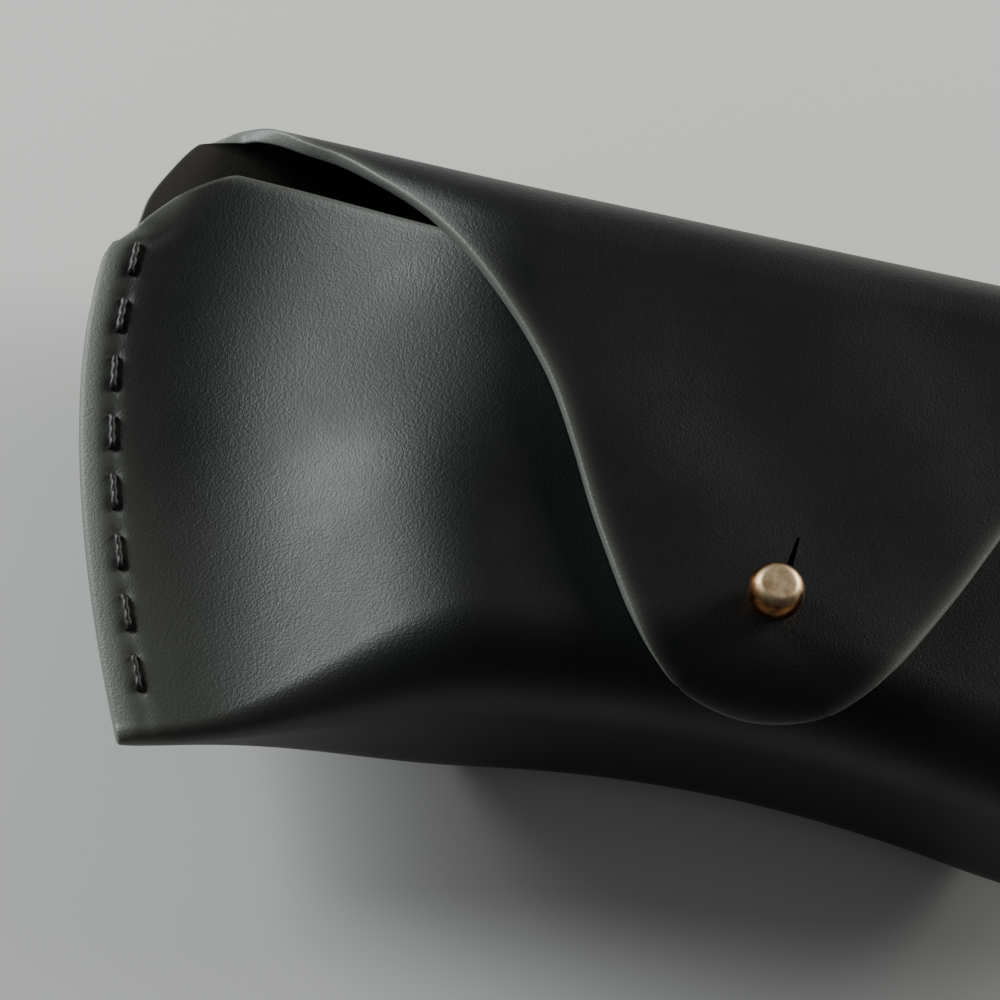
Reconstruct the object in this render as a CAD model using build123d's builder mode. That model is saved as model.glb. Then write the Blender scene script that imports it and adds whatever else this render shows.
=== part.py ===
"""Flap case of black leather, lying on its back: a sewn pouch, a hooded flap and a ball stud.

Millimetres. +Z is the way the front faces, +Y runs from the pouch's bottom to the flap's fold,
X is the width. Heights along Y are measured from the notch where each seam ends at the top.
A row is a place across the width: 0 at the middle, 1 at the line where the swelling starts.
"""

import os
from math import cos, hypot, pi, sin

from build123d import *

# ---- leather ----
LEATHER = 2.0  # thickness of the hide
LAY_GAP = 0.4  # air between the front panel and the closed flap

# ---- pouch ----
CASE_DEPTH = 34.0  # outer back to outer front at the middle
FLANGE_HALF = 87.2  # widest half width of the case
CORNER_IN = 14.8  # bottom corners' set-in from the widest half width
CORNER_DROP = 67.0  # notch down to the bottom corners
BOTTOM_RISE = 13.0  # how far the bottom arches up at the middle
BOTTOM_POWER = 1.15
MOUTH_MIDDLE = 0.6  # mouth edge above the notch, at the middle
MOUTH_ENDS = 10.5  # the same beside the seams
BACK_END = 2.0  # where the back panel passes into the flap's root fold
FRONT_BOTTOM_R = 11.0
BACK_BOTTOM_R = 9.0
EDGE_TUCK = 0.1  # the flat ends fold to an outer radius this much under the hide's thickness
SWELL_RUN = 48.0  # distance from the seam over which the pouch reaches full depth
BACK_TRIM = 0.25  # sliver cut off the back's plateau to make it flat
CAVITY_END = 0.95  # the pocket closes to nothing beyond this row

# ---- sewn flange ----
FLANGE_TOP_WIDTH = 5.4  # flat width from the swelling to the cut edge, at the top
FLANGE_BOTTOM_WIDTH = 4.5  # the same at the bottom corners
FLANGE_REACH = 1.12  # sections run out to this row, past the cut edge
FLANGE_STRAIGHT = 11.5  # the flange's edge runs straight down to here, then curves in
FLANGE_POWER = 1.6
FLANGE_ROUND = 4.0  # the edge turns in over this height at the notch
NOTCH_DEPTH = 2.8
SHOULDER = [(5.6, 3.7), (8.5, 6.9)]  # front panel's corner: in from the widest, above the notch
HOLE_PITCH = 4.0
HOLE_R = 0.5
THREAD_R = 0.42  # thread in the holes
RUN_R = 0.36  # thread pulled flat between two holes
THREAD_TOP = -1.8  # first hole from the notch
SEAM_INSET = 3.7  # holes in from the flange's edge

# ---- flap: outlines are (in from the widest half width, up from the notch) unless said ----
FOLD_INNER_R = 7.5  # inner radius of both folds at the middle
FOLD_END_INNER_R = 1.1  # the same at the flat ends
FOLD_RUN_IN = 0.5  # straight hide between the back's end and the root fold
HOOD_ENDS = 18.0  # outer top of the hood above the notch, at the ends
HOOD_SIDE = [(3.3, BACK_END), (3.9, 4.9), (5.9, 9.5), (8.5, 13.0), (12.7, 15.6), (21.2, 19.0)]
HOOD_FACE = [(3.2, -9.0), (8.5, 0.5), (16.7, 5.0)]  # in from the widest, and Z from mid depth
HOOD_FACE_END = 21.7
BROW_SIDE = [(32.2, 6.3), (25.9, 9.7), (21.7, 12.6), (20.7, 20.0)]
BROW_IN = 40.4  # where the brow fold's side meets the flap's front, in from the widest
TONGUE_ROOT = [(48.3, -5.2), (56.2, -15.1)]
TONGUE_END = [(23.6, 20.3), (16.6, 8.7), (9.0, 2.1)]  # from the middle, and up from the tip
TIP_SHORT = 0.7  # the tongue's tip stops this far above the bottom's middle

# ---- stud ----
STUD_ABOVE_TIP = 13.3
BALL_R = 3.5
BALL_FLAT_R = 2.2
NECK_R = 1.9
NECK_CLEAR = 0.3  # neck's gap in the keyhole
NECK_RISE = 0.4  # neck seen above the closed flap
BASE_R = 3.75
BASE_H = 0.8
BASE_SINK = 0.5
SLIT_W = 1.0
SLIT_END = 8.3  # slit's top end above the stud's centre
SCREW_R = 1.25
SCREW_GRIP = 3.2  # shank length inside the stud
SCREW_HEAD_R = 4.0
SCREW_HEAD_H = 0.8
SLOT_W = 0.8
SLOT_DEPTH = 0.4
SEAT_CLEAR = 0.05  # gap round the base and the shank in the leather
HEAD_CLEAR = 0.3  # gap round the screw's head
BORE_CLEAR = 0.02  # gap round the shank in the stud
BORE_SPARE = 0.3  # empty bore past the shank's end

# ---- derived sizes and places ----
EDGE_R = LEATHER - EDGE_TUCK
FOLD_R = FOLD_INNER_R + LEATHER
FOLD_END_R = FOLD_END_INNER_R + LEATHER
HOOD_MIDDLE = BACK_END + FOLD_RUN_IN + FOLD_R
CORNER_HALF = FLANGE_HALF - CORNER_IN
SEAM_TOP_HALF = FLANGE_HALF - FLANGE_TOP_WIDTH
SEAM_SLOPE = (SEAM_TOP_HALF - CORNER_HALF + FLANGE_BOTTOM_WIDTH) / CORNER_DROP
NOTCH_Y = (CORNER_DROP - HOOD_ENDS) / 2  # centres the height on the origin
MID_Z = CASE_DEPTH / 2
LAY = LAY_GAP + LEATHER
FLAP_TOP_Z = CASE_DEPTH + LAY
ROOT_Z = FOLD_R  # height where the root fold passes into the hood
BROW_Z = FLAP_TOP_Z - FOLD_R  # height where the hood passes into the brow fold
ROOT_TOP = FOLD_R  # the root fold's side parts end this far above the notch
TIP_Y = BOTTOM_RISE - CORNER_DROP + TIP_SHORT
STUD_Y = NOTCH_Y + TIP_Y + STUD_ABOVE_TIP
HOLE_COUNT = 2 * int((CORNER_DROP + THREAD_TOP) / (2 * HOLE_PITCH))
FAR = FLANGE_HALF + CORNER_DROP  # past everything
STATIONS = [0.0, 0.1, 0.2, 0.3, 0.42, 0.5, 0.57, 0.64, 0.7, 0.76, 0.82, 0.87, 0.92, 0.96, 1.0]
ROWS = [-s for s in reversed(STATIONS[1:])] + STATIONS
ROWS = [-FLANGE_REACH] + ROWS + [FLANGE_REACH]


def swell(row):
    """Share of the full depth at a row: 0 along the seams, 1 over the middle plateau."""
    inside = max(0.0, 1 - abs(row)) * SEAM_TOP_HALF / SWELL_RUN
    return sin(pi / 2 * min(1.0, inside)) ** 2


def between(ends, middle, row):
    """A size that changes from the seams to the middle as the swelling does."""
    return ends + (middle - ends) * swell(row)


def front_z(row):
    return MID_Z + between(LEATHER, MID_Z, row)


def back_z(row):
    return MID_Z - between(LEATHER, MID_Z + BACK_TRIM, row)


def bottom_y(row):
    """Lower edge of a row: the corners stay low and the middle arches up by nearly a cosine."""
    out = min(1.0, abs(row) * SEAM_TOP_HALF / FLANGE_HALF)
    return -CORNER_DROP + BOTTOM_RISE * cos(pi / 2 * out) ** BOTTOM_POWER


def row_plane(row):
    """Upright plane of one row: local x runs up the case beside the slanted seam, local y is Z."""
    lean = row * SEAM_SLOPE
    return Plane(
        origin=(row * SEAM_TOP_HALF, NOTCH_Y, 0), x_dir=(lean, 1, 0), z_dir=(1, -lean, 0)
    )


def pouch_outline(row):
    """Outer outline of the pouch: front, folded bottom and back, open step at the mouth."""
    mouth = between(MOUTH_ENDS, MOUTH_MIDDLE, row)
    front, back, low = front_z(row), back_z(row), bottom_y(row)
    FilletPolyline(
        (mouth, front), (low, front), (low, back), (BACK_END, back),
        radius=(between(EDGE_R, FRONT_BOTTOM_R, row), between(EDGE_R, BACK_BOTTOM_R, row)),
    )
    Polyline((BACK_END, back), (BACK_END, MID_Z), (mouth, MID_Z), (mouth, front))


def cavity_outline(row):
    """Inner outline of the pouch, run up past the mouth so that it cuts the mouth open."""
    front, back = front_z(row) - LEATHER, back_z(row) + LEATHER
    low = bottom_y(row) + LEATHER
    FilletPolyline(
        (HOOD_ENDS, front), (low, front), (low, back), (HOOD_ENDS, back),
        radius=(
            between(EDGE_R, FRONT_BOTTOM_R, row) - LEATHER,
            between(EDGE_R, BACK_BOTTOM_R, row) - LEATHER,
        ),
    )
    Line((HOOD_ENDS, back), (HOOD_ENDS, front))


def wrap_side(row, inset):
    """One face of the flap's hide, from the back round the hood to under the tongue's tip."""
    back, front = back_z(row) + inset, front_z(row) + LAY - inset
    top = between(HOOD_ENDS, HOOD_MIDDLE, row) - inset
    low = bottom_y(row) - LAY + inset
    fold = between(FOLD_END_R, FOLD_R, row) - inset
    tip_r = between(EDGE_R, FRONT_BOTTOM_R, row) + LAY - inset
    start, end = (BACK_END, back), (low, MID_Z)
    FilletPolyline(
        start, (top, back), (top, front), (low, front), end, radius=(fold, fold, tip_r)
    )
    return start, end


def wrap_outline(row):
    """Closed section of the flap's hide: outer face, inner face and the two cut ends."""
    outer, inner = wrap_side(row, 0.0), wrap_side(row, LEATHER)
    Line(outer[0], inner[0])
    Line(outer[1], inner[1])


def flange_x(y):
    """Half width of the flange's cut edge at a height: straight at the top, then curving in."""
    taper = CORNER_IN / (CORNER_DROP - FLANGE_STRAIGHT) ** FLANGE_POWER
    return FLANGE_HALF - taper * max(0.0, -y - FLANGE_STRAIGHT) ** FLANGE_POWER


def hole_places():
    """Stitch holes at an even pitch along a line that follows the flange's edge."""
    places, y = [], THREAD_TOP
    for _ in range(HOLE_COUNT):
        x = flange_x(y) - SEAM_INSET
        places.append((x, NOTCH_Y + y))
        slope = (flange_x(y) - flange_x(y - HOLE_PITCH)) / HOLE_PITCH
        y -= HOLE_PITCH / hypot(1.0, slope)
    return places


HOLES = hole_places()


def from_side(points):
    """Points given as (in from the widest, up from the notch), in the model's X and Y."""
    return [(FLANGE_HALF - x, NOTCH_Y + y) for x, y in points]


def leather_contour():
    """Plan contour of the whole pouch: flanges, rounded shoulders and an open bottom."""
    curve_start, curve_end = -FLANGE_STRAIGHT, -CORNER_DROP
    drops = [curve_end + (curve_start - curve_end) * n / 5 for n in range(6)] + [-FLANGE_ROUND]
    edge = [(flange_x(y), NOTCH_Y + y) for y in drops]
    right = Spline(edge)
    turn = Spline([edge[-1]] + from_side([(NOTCH_DEPTH, 0)] + SHOULDER), tangents=[(0, 1), (-1, 1)])
    left = mirror(right, about=Plane.YZ)
    left_turn = mirror(turn, about=Plane.YZ)
    Polyline(turn @ 1, ((turn @ 1).X, FAR), (-(turn @ 1).X, FAR), left_turn @ 1)
    Polyline(right @ 0, ((right @ 0).X, -FAR), (-(right @ 0).X, -FAR), left @ 0)


def hood_plan():
    """Plan contour of the hide beside the hood, closed across the case."""
    side = Spline(from_side(HOOD_SIDE))
    other = mirror(side, about=Plane.YZ)
    Line(side @ 0, other @ 0)
    Line(side @ 1, other @ 1)


def zone(low, high):
    """Block across the whole width between two corners, given as (up from the notch, z)."""
    with Locations((0, NOTCH_Y + (low[0] + high[0]) / 2, (low[1] + high[1]) / 2)):
        return Box(2 * FAR, high[0] - low[0], high[1] - low[1], mode=Mode.PRIVATE)


# ---- pouch: one hide folded at the bottom, swollen in the middle and flat at the seams ----
with BuildPart() as cavity:
    for row in [r for r in ROWS if abs(r) < CAVITY_END]:
        with BuildSketch(row_plane(row)):
            with BuildLine():
                cavity_outline(row)
            make_face()
    loft(ruled=True)

with BuildPart() as pouch:
    for row in ROWS:
        with BuildSketch(row_plane(row)):
            with BuildLine():
                pouch_outline(row)
            make_face()
    loft(ruled=True)
    with BuildSketch():
        with BuildLine():
            leather_contour()
        make_face()
    extrude(amount=FAR, mode=Mode.INTERSECT)
    add(cavity.part, mode=Mode.SUBTRACT)
    # Seats for the stud's base above the front panel and the screw's head below it.
    with BuildSketch(Plane.XY.offset(CASE_DEPTH - BASE_SINK)):
        with Locations((0, STUD_Y)):
            Circle(BASE_R + SEAT_CLEAR)
    extrude(amount=FAR, mode=Mode.SUBTRACT)
    with BuildSketch(Plane.XY.offset(CASE_DEPTH - LEATHER)):
        with Locations((0, STUD_Y)):
            Circle(SCREW_HEAD_R + HEAD_CLEAR)
    extrude(amount=-SCREW_HEAD_H, mode=Mode.SUBTRACT)
    with BuildSketch(Plane.XY.offset(MID_Z)):
        with Locations((0, STUD_Y)):
            Circle(SCREW_R + SEAT_CLEAR)
    extrude(amount=FAR, mode=Mode.SUBTRACT)
    with BuildSketch(Plane.XY):
        with Locations([(side * x, y) for x, y in HOLES for side in (-1, 1)]):
            Circle(HOLE_R)
    extrude(amount=FAR, mode=Mode.SUBTRACT)
pouch.part.label = "pouch"

# ---- flap: one hide over the hood and down the front, cut where its two folds bend ----
with BuildPart() as wrap:
    for row in ROWS:
        with BuildSketch(row_plane(row)):
            with BuildLine():
                wrap_outline(row)
            make_face()
    loft(ruled=True)
    with Locations((0, 0, FAR / 2)):
        Box(2 * FAR, 2 * FAR, FAR, mode=Mode.INTERSECT)

with BuildPart() as flap_root_fold:
    add(wrap.part)
    side_parts = zone((BACK_END, 0), (ROOT_TOP, MID_Z))
    add(side_parts + zone((ROOT_TOP, 0), (FAR, ROOT_Z)), mode=Mode.INTERSECT)
    with BuildSketch():
        with BuildLine():
            hood_plan()
        make_face()
    extrude(amount=FAR, mode=Mode.INTERSECT)
flap_root_fold.part.label = "flap_root_fold"

with BuildPart() as hood:
    add(wrap.part)
    add(zone((ROOT_TOP, ROOT_Z), (FAR, BROW_Z)), mode=Mode.INTERSECT)
    with BuildSketch():
        with BuildLine():
            hood_plan()
        make_face()
    extrude(amount=FAR, mode=Mode.INTERSECT)
    with BuildSketch(Plane.XZ.offset(-FAR)):
        with BuildLine():
            points = [(FLANGE_HALF - x, MID_Z + z) for x, z in HOOD_FACE]
            face = Spline(points + [(FLANGE_HALF - HOOD_FACE_END, BROW_Z)])
            other = mirror(face, about=Plane.YZ)
            Polyline(face @ 1, ((face @ 1).X, FAR), (-(face @ 1).X, FAR), other @ 1)
            Polyline(face @ 0, ((face @ 0).X, 0), (-(face @ 0).X, 0), other @ 0)
        make_face()
    extrude(amount=2 * FAR, mode=Mode.INTERSECT)
hood.part.label = "hood"

with BuildPart() as flap_brow_fold:
    add(wrap.part)
    add(zone((BACK_END, BROW_Z), (FAR, FAR)), mode=Mode.INTERSECT)
    with BuildSketch():
        with BuildLine():
            edge = Spline(from_side([(BROW_IN, BACK_END)] + BROW_SIDE))
            other = mirror(edge, about=Plane.YZ)
            Line(edge @ 0, other @ 0)
            Line(edge @ 1, other @ 1)
        make_face()
    extrude(amount=FAR, mode=Mode.INTERSECT)
flap_brow_fold.part.label = "flap_brow_fold"

with BuildPart() as flap:
    add(wrap.part)
    add(zone((-FAR, MID_Z + LEATHER / 2), (BACK_END, FAR)), mode=Mode.INTERSECT)
    with BuildSketch():
        with BuildLine():
            side = from_side([(BROW_IN, BACK_END)] + TONGUE_ROOT)
            side += [(x, NOTCH_Y + TIP_Y + y) for x, y in TONGUE_END]
            tongue = Spline(side + [(0, NOTCH_Y + TIP_Y)] + [(-x, y) for x, y in reversed(side)])
            Line(tongue @ 0, tongue @ 1)
        make_face()
    extrude(amount=FAR, mode=Mode.INTERSECT)
    # Keyhole: a round hole for the stud's neck with a slit above it.
    with BuildSketch(Plane.XY.offset(CASE_DEPTH)):
        with Locations((0, STUD_Y)):
            Circle(NECK_R + NECK_CLEAR)
        with Locations((0, STUD_Y + SLIT_END / 2)):
            Rectangle(SLIT_W, SLIT_END)
    extrude(amount=FAR, mode=Mode.SUBTRACT)
flap.part.label = "flap"

# ---- stud: turned brass ball on a neck, held by a slotted screw from inside the pouch ----
BASE_Z = CASE_DEPTH - BASE_SINK
NECK_TOP = FLAP_TOP_Z + NECK_RISE
BALL_Z = NECK_TOP + (BALL_R**2 - NECK_R**2) ** 0.5
TOP_Z = BALL_Z + (BALL_R**2 - BALL_FLAT_R**2) ** 0.5
with BuildPart() as stud_head:
    with BuildSketch(Plane(origin=(0, STUD_Y, 0), x_dir=(1, 0, 0), z_dir=(0, -1, 0))):
        with BuildLine():
            Polyline(
                (0, TOP_Z), (0, BASE_Z), (BASE_R, BASE_Z), (BASE_R, BASE_Z + BASE_H),
                (NECK_R, BASE_Z + BASE_H), (NECK_R, NECK_TOP),
            )
            RadiusArc((BALL_FLAT_R, TOP_Z), (NECK_R, NECK_TOP), BALL_R)
            Line((0, TOP_Z), (BALL_FLAT_R, TOP_Z))
        make_face()
    revolve(axis=Axis((0, STUD_Y, 0), (0, 0, 1)))
    with BuildSketch(Plane.XY.offset(BASE_Z)):
        with Locations((0, STUD_Y)):
            Circle(SCREW_R + BORE_CLEAR)
    extrude(amount=SCREW_GRIP + BORE_SPARE, mode=Mode.SUBTRACT)
stud_head.part.label = "stud_head"

HEAD_Z = CASE_DEPTH - LEATHER - SCREW_HEAD_H
with BuildPart() as stud_screw:
    with BuildSketch(Plane.XY.offset(HEAD_Z)):
        with Locations((0, STUD_Y)):
            Circle(SCREW_HEAD_R)
    extrude(amount=SCREW_HEAD_H)
    with BuildSketch(Plane.XY.offset(CASE_DEPTH - LEATHER)):
        with Locations((0, STUD_Y)):
            Circle(SCREW_R)
    extrude(amount=LEATHER - BASE_SINK + SCREW_GRIP)
    with BuildSketch(Plane.XY.offset(HEAD_Z)):
        with Locations((0, STUD_Y)):
            Rectangle(2 * SCREW_HEAD_R, SLOT_W)
    extrude(amount=SLOT_DEPTH, mode=Mode.SUBTRACT)
stud_screw.part.label = "stud_screw"


def seam_thread(side):
    """One waxed thread: posts through the holes, joined over and under the flange by turns."""
    reach = LEATHER + 2 * THREAD_R
    with BuildPart() as thread:
        with BuildSketch(Plane.XY.offset(MID_Z - reach)):
            with Locations([(side * x, y) for x, y in HOLES]):
                Circle(THREAD_R)
        extrude(amount=2 * reach)
        for index, (start, end) in enumerate(zip(HOLES, HOLES[1:])):
            height = LEATHER + THREAD_R if index % 2 == 0 else -LEATHER - THREAD_R
            with BuildLine():
                run = Line(
                    (side * start[0], start[1], MID_Z + height),
                    (side * end[0], end[1], MID_Z + height),
                )
            with BuildSketch(Plane(origin=run @ 0, z_dir=run % 0)):
                Circle(RUN_R)
            sweep(path=run)
    return thread


os.makedirs("parts", exist_ok=True)
for side, name in ((-1, "seam_thread_left"), (1, "seam_thread_right")):
    thread = seam_thread(side)
    thread.part.label = name
    export_step(thread.part, f"parts/{name}.step")
export_step(pouch.part, "parts/pouch.step")
export_step(flap_root_fold.part, "parts/flap_root_fold.step")
export_step(hood.part, "parts/hood.step")
export_step(flap_brow_fold.part, "parts/flap_brow_fold.step")
export_step(flap.part, "parts/flap.step")
export_step(stud_head.part, "parts/stud_head.step")
export_step(stud_screw.part, "parts/stud_screw.step")
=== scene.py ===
"""Black leather flap case with sewn ends and a brass ball stud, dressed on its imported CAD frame."""

import logging
import math
from dataclasses import dataclass
from enum import Enum

import bpy
import numpy as np
from mathutils import Matrix, Vector


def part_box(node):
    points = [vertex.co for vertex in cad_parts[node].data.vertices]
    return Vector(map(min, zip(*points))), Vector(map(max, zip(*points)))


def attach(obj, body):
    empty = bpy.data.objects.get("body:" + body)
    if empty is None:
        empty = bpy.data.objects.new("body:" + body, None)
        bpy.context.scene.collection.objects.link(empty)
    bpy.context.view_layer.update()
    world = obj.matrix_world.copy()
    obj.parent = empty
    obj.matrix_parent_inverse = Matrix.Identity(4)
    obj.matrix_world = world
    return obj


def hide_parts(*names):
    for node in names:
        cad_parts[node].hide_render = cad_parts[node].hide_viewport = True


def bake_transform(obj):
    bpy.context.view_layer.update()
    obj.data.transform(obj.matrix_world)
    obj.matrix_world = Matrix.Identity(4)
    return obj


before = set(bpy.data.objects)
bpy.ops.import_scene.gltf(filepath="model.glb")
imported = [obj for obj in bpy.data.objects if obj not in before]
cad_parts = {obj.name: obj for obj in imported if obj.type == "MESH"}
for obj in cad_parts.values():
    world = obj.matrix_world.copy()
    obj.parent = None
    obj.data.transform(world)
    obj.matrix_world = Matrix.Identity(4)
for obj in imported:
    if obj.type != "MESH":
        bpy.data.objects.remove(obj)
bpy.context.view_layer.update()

MM = 0.001
WEAR_RUN = 0.7  # mm in from a cut edge over which the dye is rubbed thin
EDGE_BULGE = 0.34  # mm by which a burnished edge stands out of the sheet
FLESH_SKIVE = 0.03  # mm by which the drawn hide is thinner than the CAD one
SHARP = 55.0  # degrees past which a hide's shading breaks
BACK_END = 2.0  # mm above the notch where the back passes into the root fold
LOG = logging.getLogger("flap_case")
Array = np.ndarray


class Side(Enum):
    """The two sewn ends of the case."""

    LEFT = -1
    RIGHT = 1


class Face(Enum):
    """The values that the hide's "face" attribute takes."""

    GRAIN = 0.0
    CUT = 0.5
    FLESH = 1.0


@dataclass(frozen=True)
class CaseSizes:
    """Sizes of the case in mm, with heights y measured from the notch at the top of the seams."""

    notch_y: float
    depth: float
    flange_half: float
    leather: float = 2.0
    lay_gap: float = 0.4
    corner_half: float = 72.4
    corner_drop: float = 67.0
    bottom_rise: float = 13.0
    bottom_power: float = 1.15
    mouth_middle: float = 0.6
    mouth_ends: float = 10.5
    mouth_turn: float = 4.2
    mouth_turn_from: float = 0.89
    mouth_turn_to: float = 0.972
    mouth_turn_power: float = 1.6
    hood_middle: float = 12.0
    hood_ends: float = 18.0
    fold_r: float = 9.5
    fold_end_r: float = 3.1
    front_r: float = 11.0
    back_r: float = 9.0
    edge_r: float = 1.9
    seam_inset: float = 5.4
    notch_depth: float = 2.8
    round_run: float = 5.0
    round_power: float = 2.2
    shoulder_lean: float = 0.707
    shoulder_curve: float = 0.0135
    straight_drop: float = 11.5
    taper_power: float = 1.6
    swell_run: float = 48.0
    swell_power: float = 1.15
    split_drop: float = 12.0
    stud_drop: float = 40.0

    @classmethod
    def from_frame(cls) -> "CaseSizes":
        """Reads the notch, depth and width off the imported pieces.

        Returns:
            The sizes of this case.
        """
        flap_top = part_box("flap")[1].y / MM
        pouch_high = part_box("pouch")[1]
        return cls(flap_top - BACK_END, pouch_high.z / MM, pouch_high.x / MM)

    @property
    def mid_z(self) -> float:
        """Height of the flange's middle layer."""
        return self.depth / 2

    @property
    def lay(self) -> float:
        """Rise from the front panel's face to the closed flap's face."""
        return self.lay_gap + self.leather

    def flange_x(self, y: Array) -> Array:
        """Half width of the cut edge: straight at the top, then in by a power of the drop.

        Args:
            y: heights from the notch, in mm.

        Returns:
            Half widths in mm.
        """
        reach = (self.corner_drop - self.straight_drop) ** self.taper_power
        taper = (self.flange_half - self.corner_half) / reach
        below = np.maximum(0.0, -np.asarray(y, float) - self.straight_drop)
        return self.flange_half - taper * below**self.taper_power

    def edge_x(self, y: Array) -> Array:
        """Half width of the cut edge, with the flange rounded in at the notch and a shoulder above.

        Args:
            y: heights from the notch, in mm.

        Returns:
            Half widths in mm.
        """
        turned_in = np.clip(1 + y / self.round_run, 0, 1) ** self.round_power
        flange = self.flange_x(y) - self.notch_depth * turned_in
        shoulder = self.flange_half - self.notch_depth
        shoulder = shoulder - self.shoulder_lean * y - self.shoulder_curve * y**2
        return np.where(y < 0, flange, shoulder)

    @property
    def seam_share(self) -> float:
        """The flange's half width as a multiple of the seam's."""
        return self.flange_half / (self.flange_half - self.seam_inset)

    def row(self, x: Array, y: Array) -> Array:
        """Place across the width: 0 at the middle, 1 at the seam, more on the flange."""
        return x * self.seam_share / self.flange_x(y)

    def swell(self, row: Array) -> Array:
        """Share of the full depth: squared sine of the distance in from the seam, 0 to 1.

        Args:
            row: place across the width, 0 at the middle and 1 at the seam.

        Returns:
            0 at the seams, 1 over the middle plateau.
        """
        seam_half = self.flange_half - self.seam_inset
        inside = np.clip((1 - np.abs(row)) * seam_half / self.swell_run, 0, 1)
        return np.sin(np.pi / 2 * inside**self.swell_power) ** 2

    def between(self, ends: float, middle: float, row: Array) -> Array:
        """A size that changes from the seams to the middle as the swelling does."""
        return ends + (middle - ends) * self.swell(row)

    def front_z(self, row: Array) -> Array:
        """Height of the front panel's face."""
        return self.mid_z + self.between(self.leather, self.mid_z, row)

    def back_z(self, row: Array) -> Array:
        """Height of the back panel's face."""
        return self.mid_z - self.between(self.leather, self.mid_z, row)

    def bottom_y(self, row: Array) -> Array:
        """Lower edge: low at the corners, arching up to the middle by nearly a cosine."""
        out = np.clip(np.abs(row) / self.seam_share, 0, 0.9999)
        return -self.corner_drop + self.bottom_rise * np.cos(np.pi / 2 * out) ** self.bottom_power

    def mouth_y(self, row: Array) -> Array:
        """Mouth edge: low in the middle, rising to the ends, where its corners are rounded off."""
        turned = (np.abs(row) - self.mouth_turn_from) / (self.mouth_turn_to - self.mouth_turn_from)
        turned = np.clip(turned, 0, 1) ** self.mouth_turn_power
        return self.between(self.mouth_ends, self.mouth_middle, row) - self.mouth_turn * turned

    def flap_lengths(self, row: Array) -> list[Array]:
        """Lengths in mm of the six stretches of the flap's outline: see flap_section."""
        back, front = self.back_z(row), self.front_z(row) + self.lay
        top, low = self.between(self.hood_ends, self.hood_middle, row), self.bottom_y(row) - self.lay
        fold = self.between(self.fold_end_r, self.fold_r, row)
        tip = self.between(self.edge_r, self.front_r, row) + self.lay
        bent = np.pi / 2 * fold
        return [
            top - fold + self.split_drop, bent, front - back - 2 * fold, bent,
            top - fold - low - tip, np.pi / 2 * tip,
        ]

    def flap_place(self, row: Array, length: Array) -> Array:
        """Place along the flap's outline, 0 to 6, at a length in mm along the flat hide.

        Args:
            row: place across the width.
            length: how far from the start of the flap's hide.

        Returns:
            The whole stretches passed and the share of the next.
        """
        place = np.zeros(np.broadcast(row, length).shape)
        start = 0.0
        for stretch in self.flap_lengths(row):
            place = place + np.clip((length - start) / stretch, 0, 1)
            start = start + stretch
        return place


def line(start: tuple[Array, Array], end: tuple[Array, Array], t: Array) -> tuple[Array, Array]:
    """Point at share t of a straight stretch."""
    return start[0] + (end[0] - start[0]) * t, start[1] + (end[1] - start[1]) * t


def bend(centre: tuple[Array, Array], r: Array, first: float, t: Array) -> tuple[Array, Array]:
    """Point at share t of a quarter turn about centre that starts at the angle first."""
    angle = first + np.pi / 2 * t
    return centre[0] + r * np.cos(angle), centre[1] + r * np.sin(angle)


def pouch_section(s: CaseSizes, row: Array, q: Array, inset: float) -> tuple[Array, Array]:
    """Pouch outline: front 0-1, front turn 1-2, bottom 2-3, back turn 3-4, back 4-5.

    Args:
        s: sizes of the case.
        row: place across the width.
        q: place along the outline.
        inset: how far inside the outer face.

    Returns:
        Height y from the notch, and z, in mm.
    """
    front, back = s.front_z(row) - inset, s.back_z(row) + inset
    low = s.bottom_y(row) + inset
    mouth = s.mouth_y(row)
    r1 = np.maximum(s.between(s.edge_r, s.front_r, row) - inset, 0.02)
    r2 = np.maximum(s.between(s.edge_r, s.back_r, row) - inset, 0.02)
    t = q - np.clip(np.floor(q), 0, 4)
    parts = [
        line((mouth, front), (low + r1, front), t),
        bend((low + r1, front - r1), r1, np.pi / 2, t),
        line((low, front - r1), (low, back + r2), t),
        bend((low + r2, back + r2), r2, np.pi, t),
        line((low + r2, back), (-s.split_drop + 0 * row, back), t),
    ]
    which = np.clip(np.floor(q), 0, 4).astype(int)
    return np.choose(which, [p[0] for p in parts]), np.choose(which, [p[1] for p in parts])


def flap_section(s: CaseSizes, row: Array, q: Array, inset: float) -> tuple[Array, Array]:
    """Flap outline: back 0-1, root fold 1-2, hood 2-3, brow fold 3-4, front 4-5, tip turn 5-6.

    Args:
        s: sizes of the case.
        row: place across the width.
        q: place along the outline.
        inset: how far inside the outer face.

    Returns:
        Height y from the notch, and z, in mm.
    """
    back, front = s.back_z(row) + inset, s.front_z(row) + s.lay - inset
    top = s.between(s.hood_ends, s.hood_middle, row) - inset
    low = s.bottom_y(row) - s.lay + inset
    fold = s.between(s.fold_end_r, s.fold_r, row) - inset
    tip = s.between(s.edge_r, s.front_r, row) + s.lay - inset
    t = q - np.clip(np.floor(q), 0, 5)
    parts = [
        line((-s.split_drop + 0 * row, back), (top - fold, back), t),
        bend((top - fold, back + fold), fold, -np.pi / 2, t),
        line((top, back + fold), (top, front - fold), t),
        bend((top - fold, front - fold), fold, 0.0, t),
        line((top - fold, front), (low + tip, front), t),
        bend((low + tip, front - tip), tip, np.pi / 2, t),
    ]
    which = np.clip(np.floor(q), 0, 5).astype(int)
    return np.choose(which, [p[0] for p in parts]), np.choose(which, [p[1] for p in parts])


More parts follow.
